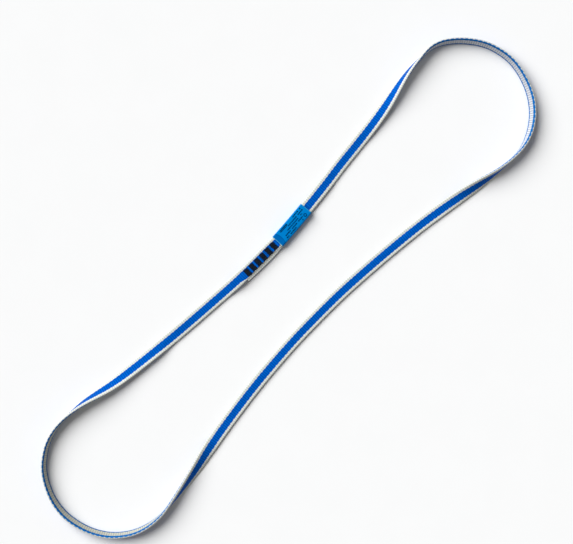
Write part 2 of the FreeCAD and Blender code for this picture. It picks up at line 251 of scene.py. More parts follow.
def smooth(u):
    u = np.clip(u, 0.0, 1.0)
    return u * u * (3 - 2 * u)


def path(s):
    s = np.asarray(s, float)
    f = np.clip(s / STEP, 0, len(PATH) - 1.0001)
    i = f.astype(int)
    t = (f - i)[:, None]
    ext = np.vstack([2 * PATH[0] - PATH[1], PATH, 2 * PATH[-1] - PATH[-2], 2 * PATH[-1] - PATH[-2]])
    a, b, c, d = ext[i], ext[i + 1], ext[i + 2], ext[i + 3]
    return 0.5 * (2 * b + (c - a) * t + (2 * a - 5 * b + 4 * c - d) * t**2 + (3 * b - a - 3 * c + d) * t**3)


def heading(s):
    a, b = path(np.maximum(0, s - 0.5)), path(np.minimum(LENGTH, s + 0.5))
    d = (b - a)[:, :2]
    return d / np.linalg.norm(d, axis=1)[:, None]


def s_at_x(x, lo, hi):
    f_lo = path([lo])[0, 0] - x
    for _ in range(60):
        mid = (lo + hi) / 2
        if (path([mid])[0, 0] - x) * f_lo > 0:
            lo = mid
        else:
            hi = mid
    return (lo + hi) / 2


def s_at_y(y, lo, hi):
    f_lo = path([lo])[0, 1] - y
    for _ in range(60):
        mid = (lo + hi) / 2
        if (path([mid])[0, 1] - y) * f_lo > 0:
            lo = mid
        else:
            hi = mid
    return (lo + hi) / 2


def lift_and_width(s, x):
    lower, upper = s < 130.0, s > LENGTH - 130.0
    lift = np.zeros(len(s))
    width = np.full(len(s), W0)
    lift = np.where(lower, LIFT * (1 - smooth((x - 79.0) / 13.0)), lift)
    lift = np.where(upper, (LIFT + T0 + GAP) * smooth((x + 43.0) / 22.0), lift)
    tuck = smooth((x + 26.0) / 12.0) * (1 - smooth((x - 14.0) / 6.0)) + smooth((x - 22.0) / 6.0)
    width = np.where(upper, W0 - (W0 - TUCK) * tuck, width)
    return lift, width


# ---------------------------------------------------------------------------------
# small helpers
# ---------------------------------------------------------------------------------
def mesh_object(name, verts, faces, smooth_shade=True, attrs=None, sharp_rings=None):
    """verts in mm, faces as an (n, 4) array or a list of tuples."""
    me = bpy.data.meshes.new(name)
    me.from_pydata((np.asarray(verts) * MM).tolist(), [], faces if isinstance(faces, list) else faces.tolist())
    me.update()
    if smooth_shade:
        me.polygons.foreach_set("use_smooth", np.ones(len(me.polygons), bool))
    for key, val in (attrs or {}).items():
        a = me.attributes.new(key, "FLOAT", "POINT")
        a.data.foreach_set("value", np.asarray(val, np.float32))
    ob = bpy.data.objects.new(name, me)
    bpy.context.scene.collection.objects.link(ob)
    return ob


def grid_faces(n_ring, m, wrap=True):
    i = np.arange(n_ring - 1)[:, None]
    j = np.arange(m if wrap else m - 1)[None]
    a = i * m + j
    b = i * m + (j + 1) % m
    return np.stack([a, b, b + m, a + m], -1).reshape(-1, 4)


def rand(*k):
    """A repeatable pseudo-random number from 0 to 1 for each entry."""
    v = np.zeros(np.broadcast(*k).shape)
    for n, a in enumerate(k):
        v = v + np.asarray(a, float) * (12.9898 + 65.233 * n)
    v = np.sin(v) * 43758.5453
    return v - np.floor(v)


# ---------------------------------------------------------------------------------
# shader building
# ---------------------------------------------------------------------------------
class Nodes:
    def __init__(self, name):
        self.mat = bpy.data.materials.new(name)
        self.mat.use_nodes = True
        self.t = self.mat.node_tree
        self.t.nodes.clear()
        self.out = self.t.nodes.new("ShaderNodeOutputMaterial")

    def link(self, a, b):
        self.t.links.new(a, b)

    def val(self, x, node, socket):
        if isinstance(x, (int, float)):
            node.inputs[socket].default_value = x
        else:
            self.link(x, node.inputs[socket])

    def m(self, op, a, b=0.0, c=0.0, clamp=False):
        n = self.t.nodes.new("ShaderNodeMath")
        n.operation = op
        n.use_clamp = clamp
        self.val(a, n, 0)
        if op not in ("ABSOLUTE", "FLOOR", "SINE", "COSINE", "SQRT", "FRACT", "ROUND", "SIGN"):
            self.val(b, n, 1)
        if op in ("MULTIPLY_ADD", "COMPARE", "SMOOTH_MIN", "SMOOTH_MAX", "WRAP"):
            self.val(c, n, 2)
        return n.outputs[0]

    def step(self, x, e0, e1):
        """0 below e0 and 1 above e1, smooth between. e0 may be above e1, which turns it round."""
        n = self.t.nodes.new("ShaderNodeMapRange")
        n.interpolation_type = "SMOOTHSTEP"
        self.val(x, n, 0)
        self.val(e0, n, 1)
        self.val(e1, n, 2)
        n.inputs[3].default_value = 0.0
        n.inputs[4].default_value = 1.0
        return n.outputs[0]

    def lin(self, x, a, b, c, d):
        n = self.t.nodes.new("ShaderNodeMapRange")
        self.val(x, n, 0)
        for k, v in ((1, a), (2, b), (3, c), (4, d)):
            self.val(v, n, k)
        return n.outputs[0]

    def attr(self, name):
        n = self.t.nodes.new("ShaderNodeAttribute")
        n.attribute_type = "GEOMETRY"
        n.attribute_name = name
        return n.outputs["Fac"]

    def vec(self, x, y, z=0.0):
        n = self.t.nodes.new("ShaderNodeCombineXYZ")
        self.val(x, n, 0)
        self.val(y, n, 1)
        self.val(z, n, 2)
        return n.outputs[0]

    def noise(self, v, scale=1.0, detail=2.0, rough=0.5):
        n = self.t.nodes.new("ShaderNodeTexNoise")
        self.link(v, n.inputs["Vector"])
        n.inputs["Scale"].default_value = scale
        n.inputs["Detail"].default_value = detail
        n.inputs["Roughness"].default_value = rough
        return n.outputs["Fac"]

    def white(self, v):
        n = self.t.nodes.new("ShaderNodeTexWhiteNoise")
        self.link(v, n.inputs["Vector"])
        return n.outputs["Value"]

    def mix(self, f, a, b, mode="MIX"):
        n = self.t.nodes.new("ShaderNodeMix")
        n.data_type = "RGBA"
        n.blend_type = mode
        self.val(f, n, 0)
        for s, x in ((6, a), (7, b)):
            if isinstance(x, tuple):
                n.inputs[s].default_value = (*x, 1.0)
            else:
                self.link(x, n.inputs[s])
        return n.outputs[2]

    def scale_color(self, col, f):
        n = self.t.nodes.new("ShaderNodeVectorMath")
        n.operation = "SCALE"
        if isinstance(col, tuple):
            n.inputs[0].default_value = col
        else:
            self.link(col, n.inputs[0])
        self.val(f, n, "Scale")
        return n.outputs[0]

    def bsdf(self, color, rough=0.6, sheen=0.0, spec=0.5, normal=None, sheen_tint=None, coat=0.0, own_tint=False, painted_glow=None):
        n = self.t.nodes.new("ShaderNodeBsdfPrincipled")
        if isinstance(color, tuple):
            n.inputs["Base Color"].default_value = (*color, 1.0)
        else:
            self.link(color, n.inputs["Base Color"])
        self.val(rough, n, "Roughness")
        self.val(sheen, n, "Sheen Weight")
        n.inputs["Sheen Roughness"].default_value = 0.4
        if sheen_tint:
            n.inputs["Sheen Tint"].default_value = (*sheen_tint, 1.0)
        self.val(spec, n, "Specular IOR Level")
        n.inputs["Coat Weight"].default_value = coat
        if painted_glow is not None:  # painted light: an emission glow that lightens shade on the surface
            self.val(color, n, "Emission Color")
            self.val(painted_glow, n, "Emission Strength")
        if own_tint:  # dyed fibre: sheen and gloss take the yarn's own colour
            self.link(color, n.inputs["Sheen Tint"])
            self.link(color, n.inputs["Specular Tint"])
        if normal is not None:
            self.link(normal, n.inputs["Normal"])
        self.link(n.outputs[0], self.out.inputs[0])
        return n

    def bump(self, h, strength=0.5, dist=0.0001):
        n = self.t.nodes.new("ShaderNodeBump")
        n.inputs["Strength"].default_value = strength
        n.inputs["Distance"].default_value = dist
        self.link(h, n.inputs["Height"])
        return n.outputs[0]


def srgb(r, g, b, gain=1.0):
    out = []
    for c in (r, g, b):
        c /= 255.0
        out.append((c / 12.92 if c <= 0.04045 else ((c + 0.055) / 1.055) ** 2.4) * gain)
    return tuple(out)


GAIN = 0.92


def tape_material(name, painted_glow_beside_tacks=False):
    N = Nodes(name)
    s, w, f, e = N.attr("tape_s"), N.attr("tape_w"), N.attr("tape_f"), N.attr("tape_e")
    row = N.m("FLOOR", N.m("DIVIDE", s, PITCH))
    par = N.m("MULTIPLY_ADD", N.m("MODULO", N.m("ADD", row, 1000.0), 2.0), 2.0, -1.0)  # -1 or +1
    u = N.m("FRACT", N.m("DIVIDE", s, PITCH))  # 0..1 along a row
    uc = N.m("ABSOLUTE", N.m("MULTIPLY_ADD", u, 2.0, -1.0))  # 0 middle of the row, 1 in the groove
    cell = 0.92
    sh = N.m("MULTIPLY_ADD", par, 0.25, 0.25)
    cw = N.m("ADD", N.m("DIVIDE", w, cell), sh)
    ci = N.m("FLOOR", cw)
    v = N.m("ABSOLUTE", N.m("MULTIPLY_ADD", N.m("FRACT", cw), 2.0, -1.0))
    # wobble of the colour boundary
    wob = N.m("MULTIPLY_ADD", N.white(N.vec(row, 3.0)), 0.10, -0.05)
    bnd = N.m("ADD", N.m("MULTIPLY_ADD", par, 0.11, 2.96), wob)
    wa = N.m("ABSOLUTE", w)
    stripe = N.step(wa, N.m("ADD", bnd, 0.10), N.m("SUBTRACT", bnd, 0.10))
    stripe = N.m("MULTIPLY", stripe, N.m("GREATER_THAN", f, 0.2))
    # the coloured selvedge yarn lies from the middle of the edge round to the rim of the back face
    e_lo = N.m("MULTIPLY_ADD", par, -0.22, 0.36)
    e_hi = N.m("MULTIPLY_ADD", par, 0.16, 3.05)
    edge = N.m("MULTIPLY", N.step(e, N.m("SUBTRACT", e_lo, 0.09), N.m("ADD", e_lo, 0.09)), N.step(e, N.m("ADD", e_hi, 0.09), N.m("SUBTRACT", e_hi, 0.09)))
    mask = N.m("MAXIMUM", stripe, edge)
    # yarn: twisted filaments along the tape
    fil = N.noise(N.vec(N.m("MULTIPLY", s, 0.9), N.m("MULTIPLY", w, 11.0), N.m("MULTIPLY", f, 7.0)), 1.0, 3.0, 0.6)
    twist = N.m("SINE", N.m("ADD", N.m("MULTIPLY", s, 13.0), N.m("MULTIPLY", w, 21.0)))
    perc = N.white(N.vec(ci, row, N.m("SIGN", f)))
    soft = N.noise(N.vec(N.m("MULTIPLY", s, 0.035), N.m("MULTIPLY", w, 0.25), 1.7), 1.0, 2.0, 0.5)
    white = N.mix(perc, srgb(213, 214, 206, GAIN), srgb(205, 207, 199, GAIN))
    white = N.mix(N.step(soft, 0.45, 0.75), white, srgb(200, 204, 198, GAIN))
    # the plain back is cooler round the upper bight and duller and warmer round the lower
    back = N.mix(N.step(s, 560.0, 700.0), srgb(197, 200, 207, GAIN), srgb(192, 192, 179, GAIN))
    white = N.mix(N.step(f, -0.2, -0.7), white, back)
    blue = N.mix(perc, srgb(0, 92, 194, GAIN), srgb(0, 84, 179, GAIN))
    blue = N.mix(N.step(soft, 0.5, 0.8), blue, srgb(0, 95, 200, GAIN))
    blue = N.mix(edge, blue, srgb(0, 102, 176, GAIN))
    # painted shade: darker in the grooves between rows, more so on the back face, and at the sides of each warp
    # float
    base = N.mix(mask, white, blue)
    groove = N.m("MULTIPLY", N.step(uc, 0.55, 1.0), 1.0)
    side = N.step(v, 0.6, 1.0)
    painted_groove_shade = N.m("MAXIMUM", N.m("MULTIPLY", groove, N.m("MULTIPLY_ADD", N.step(f, 0.0, -0.6), 0.22, 0.33)), N.m("MULTIPLY", side, 0.08))
    shade = N.m("SUBTRACT", 1.0, painted_groove_shade)
    shade = N.m("MULTIPLY", shade, N.m("MULTIPLY_ADD", fil, 0.24, 0.90))
    # painted shade: the blue stripe darker towards the grooves of each row
    shade = N.m("MULTIPLY", shade, N.m("MULTIPLY_ADD", N.m("MULTIPLY", uc, stripe), -0.27, 1.125))
    col = N.scale_color(base, shade)
    # handling marks: faint grey on the pale yarns only
    grime = N.noise(N.vec(N.m("MULTIPLY", s, 0.012), N.m("MULTIPLY", w, 0.12), 5.0), 1.0, 4.0, 0.6)
    g = N.m("MULTIPLY", N.step(grime, 0.55, 0.8), N.m("MULTIPLY_ADD", mask, -0.12, 0.12))
    col = N.mix(g, col, srgb(150, 146, 138, GAIN))
    h = N.m("ADD", N.m("MULTIPLY", fil, 0.6), N.m("MULTIPLY", twist, 0.16))
    nrm = N.bump(h, 0.55, 0.00012)
    rough = N.m("MULTIPLY_ADD", fil, 0.2, 0.62)
    # painted light: the pale border of the front face beside the tacks glows, a painted lift of the shade that the
    # upper layer casts on this lower layer
    painted_glow = None
    if painted_glow_beside_tacks:
        painted_glow = N.m("MULTIPLY", N.step(s, 41.0, 37.0), N.m("MULTIPLY", N.m("GREATER_THAN", f, 0.2), N.step(wa, 2.9, 3.2)))
        painted_glow = N.m("MULTIPLY", painted_glow, 0.42)
    N.bsdf(col, rough, sheen=N.m("MULTIPLY_ADD", mask, 0.0, 0.07), spec=0.08, normal=nrm, own_tint=True, painted_glow=painted_glow)
    return N.mat


def end_material():
    """Heat-sealed cut end: yarns melted together."""
    N = Nodes("sealed_tape_end")
    g = N.t.nodes.new("ShaderNodeNewGeometry")
    p = N.scale_color(g.outputs["Position"], 1000.0)
    n1 = N.noise(p, 2.2, 3.0, 0.6)
    n2 = N.noise(p, 7.0, 2.0, 0.5)
    col = N.mix(N.step(n1, 0.42, 0.6), srgb(196, 188, 172, GAIN), srgb(24, 84, 160, GAIN))
    col = N.mix(N.step(n2, 0.55, 0.75), col, srgb(120, 116, 110, GAIN))
    N.bsdf(col, N.m("MULTIPLY_ADD", n2, 0.3, 0.25), sheen=0.0, spec=0.5, normal=N.bump(n2, 0.7, 0.0003))
    return N.mat


def thread_material():
    N = Nodes("tack_thread")
    s, a = N.attr("th_s"), N.attr("th_a")
    k = N.attr("th_k")
    ply = N.m("SINE", N.m("ADD", N.m("MULTIPLY", s, 9.0), a))
    fib = N.noise(N.vec(N.m("MULTIPLY", s, 3.0), N.m("MULTIPLY", a, 4.0), k), 1.0, 3.0, 0.6)
    col = N.mix(N.white(N.vec(k, 2.0)), srgb(5, 18, 31, GAIN), srgb(10, 26, 42, GAIN))
    # painted highlight: lighter streaks on the thread where the fibre noise is high
    col = N.mix(N.step(fib, 0.62, 0.8), col, srgb(30, 46, 62, GAIN))
    # painted shade: the thread darker in the grooves of the ply twist and lighter on the crests
    col = N.scale_color(col, N.m("MULTIPLY_ADD", ply, 0.22, 0.9))
    h = N.m("ADD", N.m("MULTIPLY", ply, 0.7), N.m("MULTIPLY", fib, 0.4))
    N.bsdf(col, 0.5, sheen=0.03, spec=0.12, normal=N.bump(h, 0.6, 0.00008))
    return N.mat


def sleeve_material():
    """Printed plastic film: rows of plain dashes, a plain bar and a plain ring stand for the printing."""
    N = Nodes("label_film")
    s, w, f = N.attr("sl_s"), N.attr("sl_w"), N.attr("sl_f")
    top = N.m("GREATER_THAN", f, 0.5)
    # rows of dashes: five rows, each a run of short strokes with gaps
    rows = None
    spec = [  # centre across (mm), half height, start, end, stroke length, seed
        (4.05, 0.50, 23.4, 33.6, 1.70, 1.0),
        (1.95, 0.50, 15.6, 34.2, 1.55, 2.0),
        (0.00, 0.50, 9.0, 33.0, 1.45, 3.0),
        (-1.95, 0.50, 8.0, 29.6, 1.60, 4.0),
        (-3.90, 0.50, 7.2, 28.6, 1.50, 5.0),
    ]
    for c, hh, a, b, d, seed in spec:
        k = N.m("FLOOR", N.m("DIVIDE", s, d))
        r1 = N.white(N.vec(k, seed))
        r2 = N.white(N.vec(N.m("FLOOR", N.m("DIVIDE", s, d * 4.3)), seed + 0.5))
        fr = N.m("FRACT", N.m("DIVIDE", s, d))
        on = N.m("MULTIPLY", N.step(fr, 0.05, 0.15), N.step(fr, 0.94, 0.84))
        on = N.m("MULTIPLY", on, N.m("GREATER_THAN", r1, 0.14))
        on = N.m("MULTIPLY", on, N.m("GREATER_THAN", r2, 0.16))
        hw = N.m("MULTIPLY_ADD", r1, hh * 0.3, hh * 0.95)
        dy = N.m("ABSOLUTE", N.m("SUBTRACT", w, c))
        on = N.m("MULTIPLY", on, N.step(dy, N.m("ADD", hw, 0.06), N.m("SUBTRACT", hw, 0.06)))
        on = N.m("MULTIPLY", on, N.m("GREATER_THAN", s, a))
        on = N.m("MULTIPLY", on, N.m("LESS_THAN", s, b))
        rows = on if rows is None else N.m("MAXIMUM", rows, on)
    # one heavy run of plain blocks near the lower end, on the outer side
    k = N.m("FLOOR", N.m("DIVIDE", s, 1.15))
    fr = N.m("FRACT", N.m("DIVIDE", s, 1.15))
    blk = N.m("MULTIPLY", N.step(fr, 0.05, 0.14), N.step(fr, 0.97, 0.88))
    blk = N.m("MULTIPLY", blk, N.m("MULTIPLY", N.m("GREATER_THAN", s, 7.4), N.m("LESS_THAN", s, 16.2)))
    hb = N.m("MULTIPLY_ADD", N.white(N.vec(k, 9.0)), 0.25, 0.85)
    dy = N.m("ABSOLUTE", N.m("SUBTRACT", w, 3.75))
    blk = N.m("MULTIPLY", blk, N.step(dy, N.m("ADD", hb, 0.06), N.m("SUBTRACT", hb, 0.06)))
    blk = N.m("MULTIPLY", blk, 0.92)
    # a plain ring near the upper end, on the inner side
    dx = N.m("SUBTRACT", s, 31.9)
    dz = N.m("SUBTRACT", w, -2.9)
    rr = N.m("SQRT", N.m("ADD", N.m("MULTIPLY", dx, dx), N.m("MULTIPLY", dz, dz)))
    ring = N.step(N.m("ABSOLUTE", N.m("SUBTRACT", rr, 1.15)), 0.46, 0.34)
    ring = N.m("MULTIPLY", ring, 0.9)
    ink = N.m("MULTIPLY", N.m("MAXIMUM", N.m("MAXIMUM", rows, blk), ring), top)
    wear = N.noise(N.vec(s, w, N.m("MULTIPLY", f, 3.0)), 1.6, 3.0, 0.6)
    ink = N.m("MULTIPLY", ink, N.step(wear, 0.30, 0.46))
    tint = N.noise(N.vec(N.m("MULTIPLY", s, 0.12), N.m("MULTIPLY", w, 0.2), f), 1.0, 2.0, 0.5)
    film = N.mix(tint, srgb(0, 117, 192, GAIN), srgb(0, 131, 208, GAIN))
    # painted shade: the film at the lower end, before the curved crease, darker where it slopes down
    wq = N.m("DIVIDE", w, 6.0)
    crease = N.m("MULTIPLY_ADD", N.m("MULTIPLY", wq, wq), -1.5, 4.9)
    painted_end_shade = N.m("MULTIPLY", N.step(N.m("SUBTRACT", s, crease), 0.35, -0.15), top)
    film = N.mix(N.m("MULTIPLY", painted_end_shade, 0.75), film, srgb(0, 92, 168, GAIN))
    # painted shade: a darker line along the curved crease
    fold = N.m("MULTIPLY", N.step(N.m("ABSOLUTE", N.m("SUBTRACT", s, crease)), 0.42, 0.10), top)
    film = N.mix(N.m("MULTIPLY", fold, 0.55), film, srgb(0, 62, 122, GAIN))
    film = N.mix(ink, film, srgb(0, 22, 62, GAIN))
    # bare rim at both cut ends, and lighter patches along the rounded long edges: rubbed film, also a painted
    # highlight
    rim = N.m("MAXIMUM", N.step(s, 0.55, 0.2), N.step(s, SLEEVE_L - 0.35, SLEEVE_L - 0.1))
    film = N.mix(N.m("MULTIPLY", rim, 0.75), film, srgb(96, 190, 214, GAIN))
    rub_and_highlight = N.m("MULTIPLY", N.m("MULTIPLY", N.step(N.m("ABSOLUTE", w), 5.2, 5.9), N.step(wear, 0.5, 0.62)), 0.22)
    film = N.mix(rub_and_highlight, film, srgb(110, 190, 220, GAIN))
    g = N.t.nodes.new("ShaderNodeNewGeometry")
    inside = g.outputs["Backfacing"]
    grain = N.noise(N.vec(s, w, f), 14.0, 2.0, 0.5)
    creas = N.noise(N.vec(N.m("MULTIPLY", s, 0.5), N.m("MULTIPLY", w, 1.1), N.m("MULTIPLY", f, 2.0)), 1.0, 2.0, 0.5)
    h = N.m("ADD", N.m("MULTIPLY", grain, 0.15), N.m("MULTIPLY", creas, 1.6))
    h = N.m("SUBTRACT", h, N.m("MULTIPLY", ink, 0.25))
    N.bsdf(film, N.m("MULTIPLY_ADD", wear, 0.2, 0.5), sheen=0.0, spec=0.06, normal=N.bump(h, 0.5, 0.00012), coat=0.0, own_tint=True)
    return N.mat


MAT_TAPE = tape_material("woven_tape")
# the tape under the splice carries a painted glow on its pale border beside the tacks
MAT_TAPE_UNDER = tape_material("woven_tape_under_the_splice", painted_glow_beside_tacks=True)
MAT_END = end_material()
MAT_THREAD = thread_material()
MAT_SLEEVE = sleeve_material()

# ---------------------------------------------------------------------------------
# the woven tape
# ---------------------------------------------------------------------------------
N_FACE = 48   # quads across each face
N_EDGE = 10   # quads round each selvedge
PER_ROW = 8   # rings in each row of the weave
CELL = 0.92


def tack_place(x):
    if x > 20.0:
        b = math.asin((x - ARC_CX) / ARC_R)
        r = ARC_R + 0.2
        return ARC_CX + r * math.sin(b), ARC_CY - r * math.cos(b), b
    pts = [(-20.0, 33.85), (-14.0, 33.80), (10.0, 33.80), (13.0, 33.84), (16.05, 33.97)]
    for (x0, y0), (x1, y1) in zip(pts, pts[1:]):
        if x <= x1 + 1e-6:
            return x, y0 + (y1 - y0) * (x - x0) / (x1 - x0), math.radians(0.0 if x < 12.0 else 2.2)
    return x, pts[-1][1], 0.0


TACKS = [tack_place(x) for x in TACK_X]


def outline(n_face, n_edge):
    """Round the section once: (a, c, n, kind) with w = a*f + c*R, height n*R, kind 1 front, -1 back, 0 selvedge."""
    rows = []
    for i in range(n_face):
        rows.append((-1 + 2 * i / n_face, 0.0, 1.0, 0.0, 1.0))
    for i in range(n_edge):
        th = math.pi / 2 - math.pi * i / n_edge
        rows.append((1.0, math.cos(th), math.sin(th), math.cos(th), math.sin(th)))
    for i in range(n_face):
        rows.append((1 - 2 * i / n_face, 0.0, -1.0, 0.0, -1.0))
    for i in range(n_edge):
        th = -math.pi / 2 - math.pi * i / n_edge
        rows.append((-1.0, math.cos(th), math.sin(th), math.cos(th), math.sin(th)))
    return np.array(rows)


OUT = outline(N_FACE, N_EDGE)


def tape_rings(s):
    """Surface points of the woven tape at each s: (k, m, 3) in mm, and the shader's attributes."""
    p = path(s)
    h = heading(s)
    x, y, lean = p[:, 0].copy(), p[:, 1].copy(), np.radians(p[:, 2])
    lift, width = lift_and_width(s, x)
    out = np.stack([-h[:, 1], h[:, 0], np.zeros(len(s))], -1)
    # in the bights the tape splays a little further out at the top than the plain solids do
    splay = smooth((np.abs(x) - 212.0) / 26.0)
    more = splay * math.radians(5.0)
    push = splay * 0.38 + (np.cos(lean) - np.cos(lean + more)) * width / 2
    lean = lean + more
    x += out[:, 0] * push
    y += out[:, 1] * push
    up = np.array([0, 0, 1.0])
    wv = -np.cos(lean)[:, None] * out + np.sin(lean)[:, None] * up
    nv = np.sin(lean)[:, None] * out + np.cos(lean)[:, None] * up
    zc = (width / 2 - R) * np.abs(np.sin(lean)) + R + lift
    c = np.stack([x, y, zc], -1)
    f = (width / 2 - R)[:, None]
    a, cc, nn, ow, on = OUT.T
    w = a[None] * f + cc[None] * R
    n = np.broadcast_to(nn[None] * R, w.shape)
    # weave: rows of warp floats, each row shifted by half a float from the last
    row = np.floor(s / PITCH + 1e-6)
    u = (s / PITCH + 1e-6 - row) * 2 - 1
    par = np.mod(row, 2)
    wn = w * (W0 / width)[:, None]
    cell = wn / CELL + (par * 0.5)[:, None]
    v = (cell - np.floor(cell)) * 2 - 1
    ci = np.floor(cell)
    jitter = rand(ci, np.broadcast_to(row[:, None], ci.shape) * 0.37) - 0.5
    rowp = 1 - np.abs(u) ** 2.3
    face = np.abs(on)[None] ** 2
    cellp = 1 - 0.5 * np.abs(v) ** 2.2 * face
    hgt = -0.17 + 0.15 * rowp[:, None] * (0.45 + 0.55 * cellp) + 0.02 * jitter * rowp[:, None] * face
    # selvedge: the weft turns back every second row
    sel = (1 - face)
    hgt = hgt + sel * (0.05 * rowp * np.where(par > 0, 1.0, -0.4))[:, None]
    # thread pads pull the faces in
    upper, lower = s > LENGTH - 130.0, s < 130.0
    px = c[:, None, 0] + w * wv[:, None, 0]
    py = c[:, None, 1] + w * wv[:, None, 1]
    dip = np.zeros_like(w)
    if (upper | lower).any() and x[upper | lower].min() < 60:
        for tx, ty, ta in TACKS:
            dx = (px - tx) * math.cos(ta) + (py - ty) * math.sin(ta)
            dy = -(px - tx) * math.sin(ta) + (py - ty) * math.cos(ta)
            dip = np.maximum(dip, (1 - smooth((np.abs(dx) - 1.7) / 1.1)) * (1 - smooth((np.abs(dy) - 3.2) / 1.0)))
        front = (on > 0.5)[None] & upper[:, None]
        back = (on < -0.5)[None] & lower[:, None]
        dip = dip * (front | back)
        hgt = hgt * (1 - 0.5 * dip) - 0.26 * dip
    # keep the flat underside of one layer off the other
    w2 = w + ow[None] * hgt
    n2 = n + on[None] * hgt
    pts = c[:, None, :] + w2[..., None] * wv[:, None, :] + n2[..., None] * nv[:, None, :]
    pts[..., 2] = np.maximum(pts[..., 2], 0.0)
    # attributes
    zone = np.where(upper, smooth((x + 26.0) / 9.0) * (1 - smooth((x - 18.0) / 4.0)), 0.0)
    mid, half = 0.72 * zone, 2.64 + 0.86 * zone
    lo, hi = (mid - half)[:, None], (mid + half)[:, None]
    wt = np.where(
        w < lo, -5.5 + (w + (width / 2)[:, None]) / (lo + (width / 2)[:, None]) * (5.5 - 2.64),
        np.where(w > hi, 2.64 + (w - hi) / ((width / 2)[:, None] - hi) * (5.5 - 2.64), (w - mid[:, None]) / half[:, None] * 2.64),
    )
    th = np.arctan2(np.abs(on), np.abs(ow) + 1e-9)
    e = np.where(np.abs(ow) > 1e-6, R * th, R * math.pi / 2 + np.abs(np.abs(a) - 1) * (W0 / 2 - R))
    e = np.broadcast_to((-np.sign(on) * e)[None], w.shape)  # from the selvedge's middle, towards the back face
    at = {
        "tape_s": np.broadcast_to(s[:, None], w.shape).ravel(),
        "tape_w": wt.ravel(),
        "tape_f": np.broadcast_to(on[None], w.shape).ravel(),
        "tape_e": e.ravel(),
    }
    return pts, at, (c, wv, nv, h)


def tape_piece(name, s0, s1, end0=False, end1=False):
    """One run of tape. s0 and s1 fall in grooves. end0 and end1 close it with a heat-sealed end."""
    ds = PITCH / PER_ROW
    n = int(round((s1 - s0) / ds))
    s = s0 + (s1 - s0) * np.arange(n + 1) / n
    pts, at, fr = tape_rings(s)
    m = len(OUT)
    k = len(s)
    verts = pts.reshape(-1, 3)
    faces = grid_faces(k, m).tolist()
    mats = [0] * len(faces)
    attrs = {q: list(v) for q, v in at.items()}
    c, wv, nv, h = fr
    verts = verts.tolist()

    def close(ring, sealed, first):
        """Closes an end: sealed ends swell and round over, hidden ends are flat."""
        base = ring * m
        direction = np.array([h[ring][0], h[ring][1], 0.0]) * (-1 if first else 1)
        prev = list(range(base, base + m))
        centre = c[ring]
        if sealed:
            steps = [(0.25, 1.02, 1.03), (0.6, 1.01, 1.0), (0.85, 0.985, 0.86), (0.98, 0.955, 0.55)]
        else:
            steps = []
        rel = pts[ring] - centre
        rw, rn = rel @ wv[ring], rel @ nv[ring]
        for fwd, kw, kn in steps:
            start = len(verts)
            lump = 1 + 0.05 * (rand(np.arange(m) // 3, fwd * 10 + s[ring]) - 0.5)
            for j in range(m):
                q = centre + wv[ring] * rw[j] * kw + nv[ring] * rn[j] * kn * lump[j] + direction * fwd
                q[2] = max(q[2], 0.0)
                verts.append(q.tolist())
                for key in attrs:
                    attrs[key].append(attrs[key][base + j])
            for j in range(m):
                a, b = prev[j], prev[(j + 1) % m]
                a2, b2 = start + j, start + (j + 1) % m
                faces.append([b, a, a2, b2] if first else [a, b, b2, a2])
                mats.append(1)
            prev = list(range(start, start + m))
        # the flat middle: a strip of quads between the front and the back of the ring
        half = m // 2
        left = [prev[(N_FACE + N_EDGE // 2 - t) % m] for t in range(half + 1)]
        right = [prev[(N_FACE + N_EDGE // 2 + t) % m] for t in range(half + 1)]
        for t in range(half):
            q = [left[t], left[t + 1], right[t + 1], right[t]]
            if not first:
                q = q[::-1]
            if t == 0:
                q = [v for i, v in enumerate(q) if v not in q[:i]]
            if t == half - 1:
                q = [v for i, v in enumerate(q) if v not in q[:i]]
            if len(q) >= 3:
                faces.append(q)
                mats.append(1 if sealed else 0)

    close(0, end0, True)
    close(k - 1, end1, False)
    ob = mesh_object(name, verts, faces, attrs=attrs)
    ob.data.materials.append(MAT_TAPE_UNDER if s0 == 0.0 else MAT_TAPE)
    ob.data.materials.append(MAT_END)
    ob.data.polygons.foreach_set("material_index", np.array(mats, np.int32))
    # hidden flat ends don't pull the shading of the last ring
    sharp = np.zeros(len(ob.data.edges), bool)
    ev = np.zeros(len(ob.data.edges) * 2, int)
    ob.data.edges.foreach_get("vertices", ev)
    ev = ev.reshape(-1, 2)
    for ring, sealed in ((0, end0), (k - 1, end1)):
        if not sealed:
            lo, hi = ring * m, ring * m + m
            inside = (ev >= lo).all(1) & (ev < hi).all(1)
            sharp |= inside
    a = ob.data.attributes.get("sharp_edge") or ob.data.attributes.new("sharp_edge", "BOOLEAN", "EDGE")
    a.data.foreach_set("value", sharp)
    return ob


def groove(s):
    return round(s / PITCH) * PITCH


S = {
    "F1A": s_at_x(94.0, 60, 180), "F3A": s_at_x(136.0, 100, 220), "P1": s_at_x(NECK_X, 180, 260),
    "P3": s_at_x(NECK_X, 370, 460), "F3B": s_at_x(136.0, 420, 560), "F1B": s_at_x(94.0, 440, 600),
    "J": s_at_x(0.0, 520, 720), "F2B": s_at_x(-62.0, 600, 760), "F4B": s_at_x(-104.0, 640, 800),
    "P4": s_at_x(-NECK_X, 700, 860), "P2": s_at_x(-NECK_X, 960, 1100), "F4A": s_at_x(-104.0, 1060, 1200),
    "F2A": s_at_x(-62.0, 1100, LENGTH - 60),
}
YU = (path([S["P1"]])[0, 1] + path([S["P3"]])[0, 1]) / 2
YL = (path([S["P4"]])[0, 1] + path([S["P2"]])[0, 1]) / 2
S["U"] = s_at_y(YU, S["P1"] + 30, S["P3"] - 30)
S["L"] = s_at_y(YL, S["P4"] + 30, S["P2"] - 30)

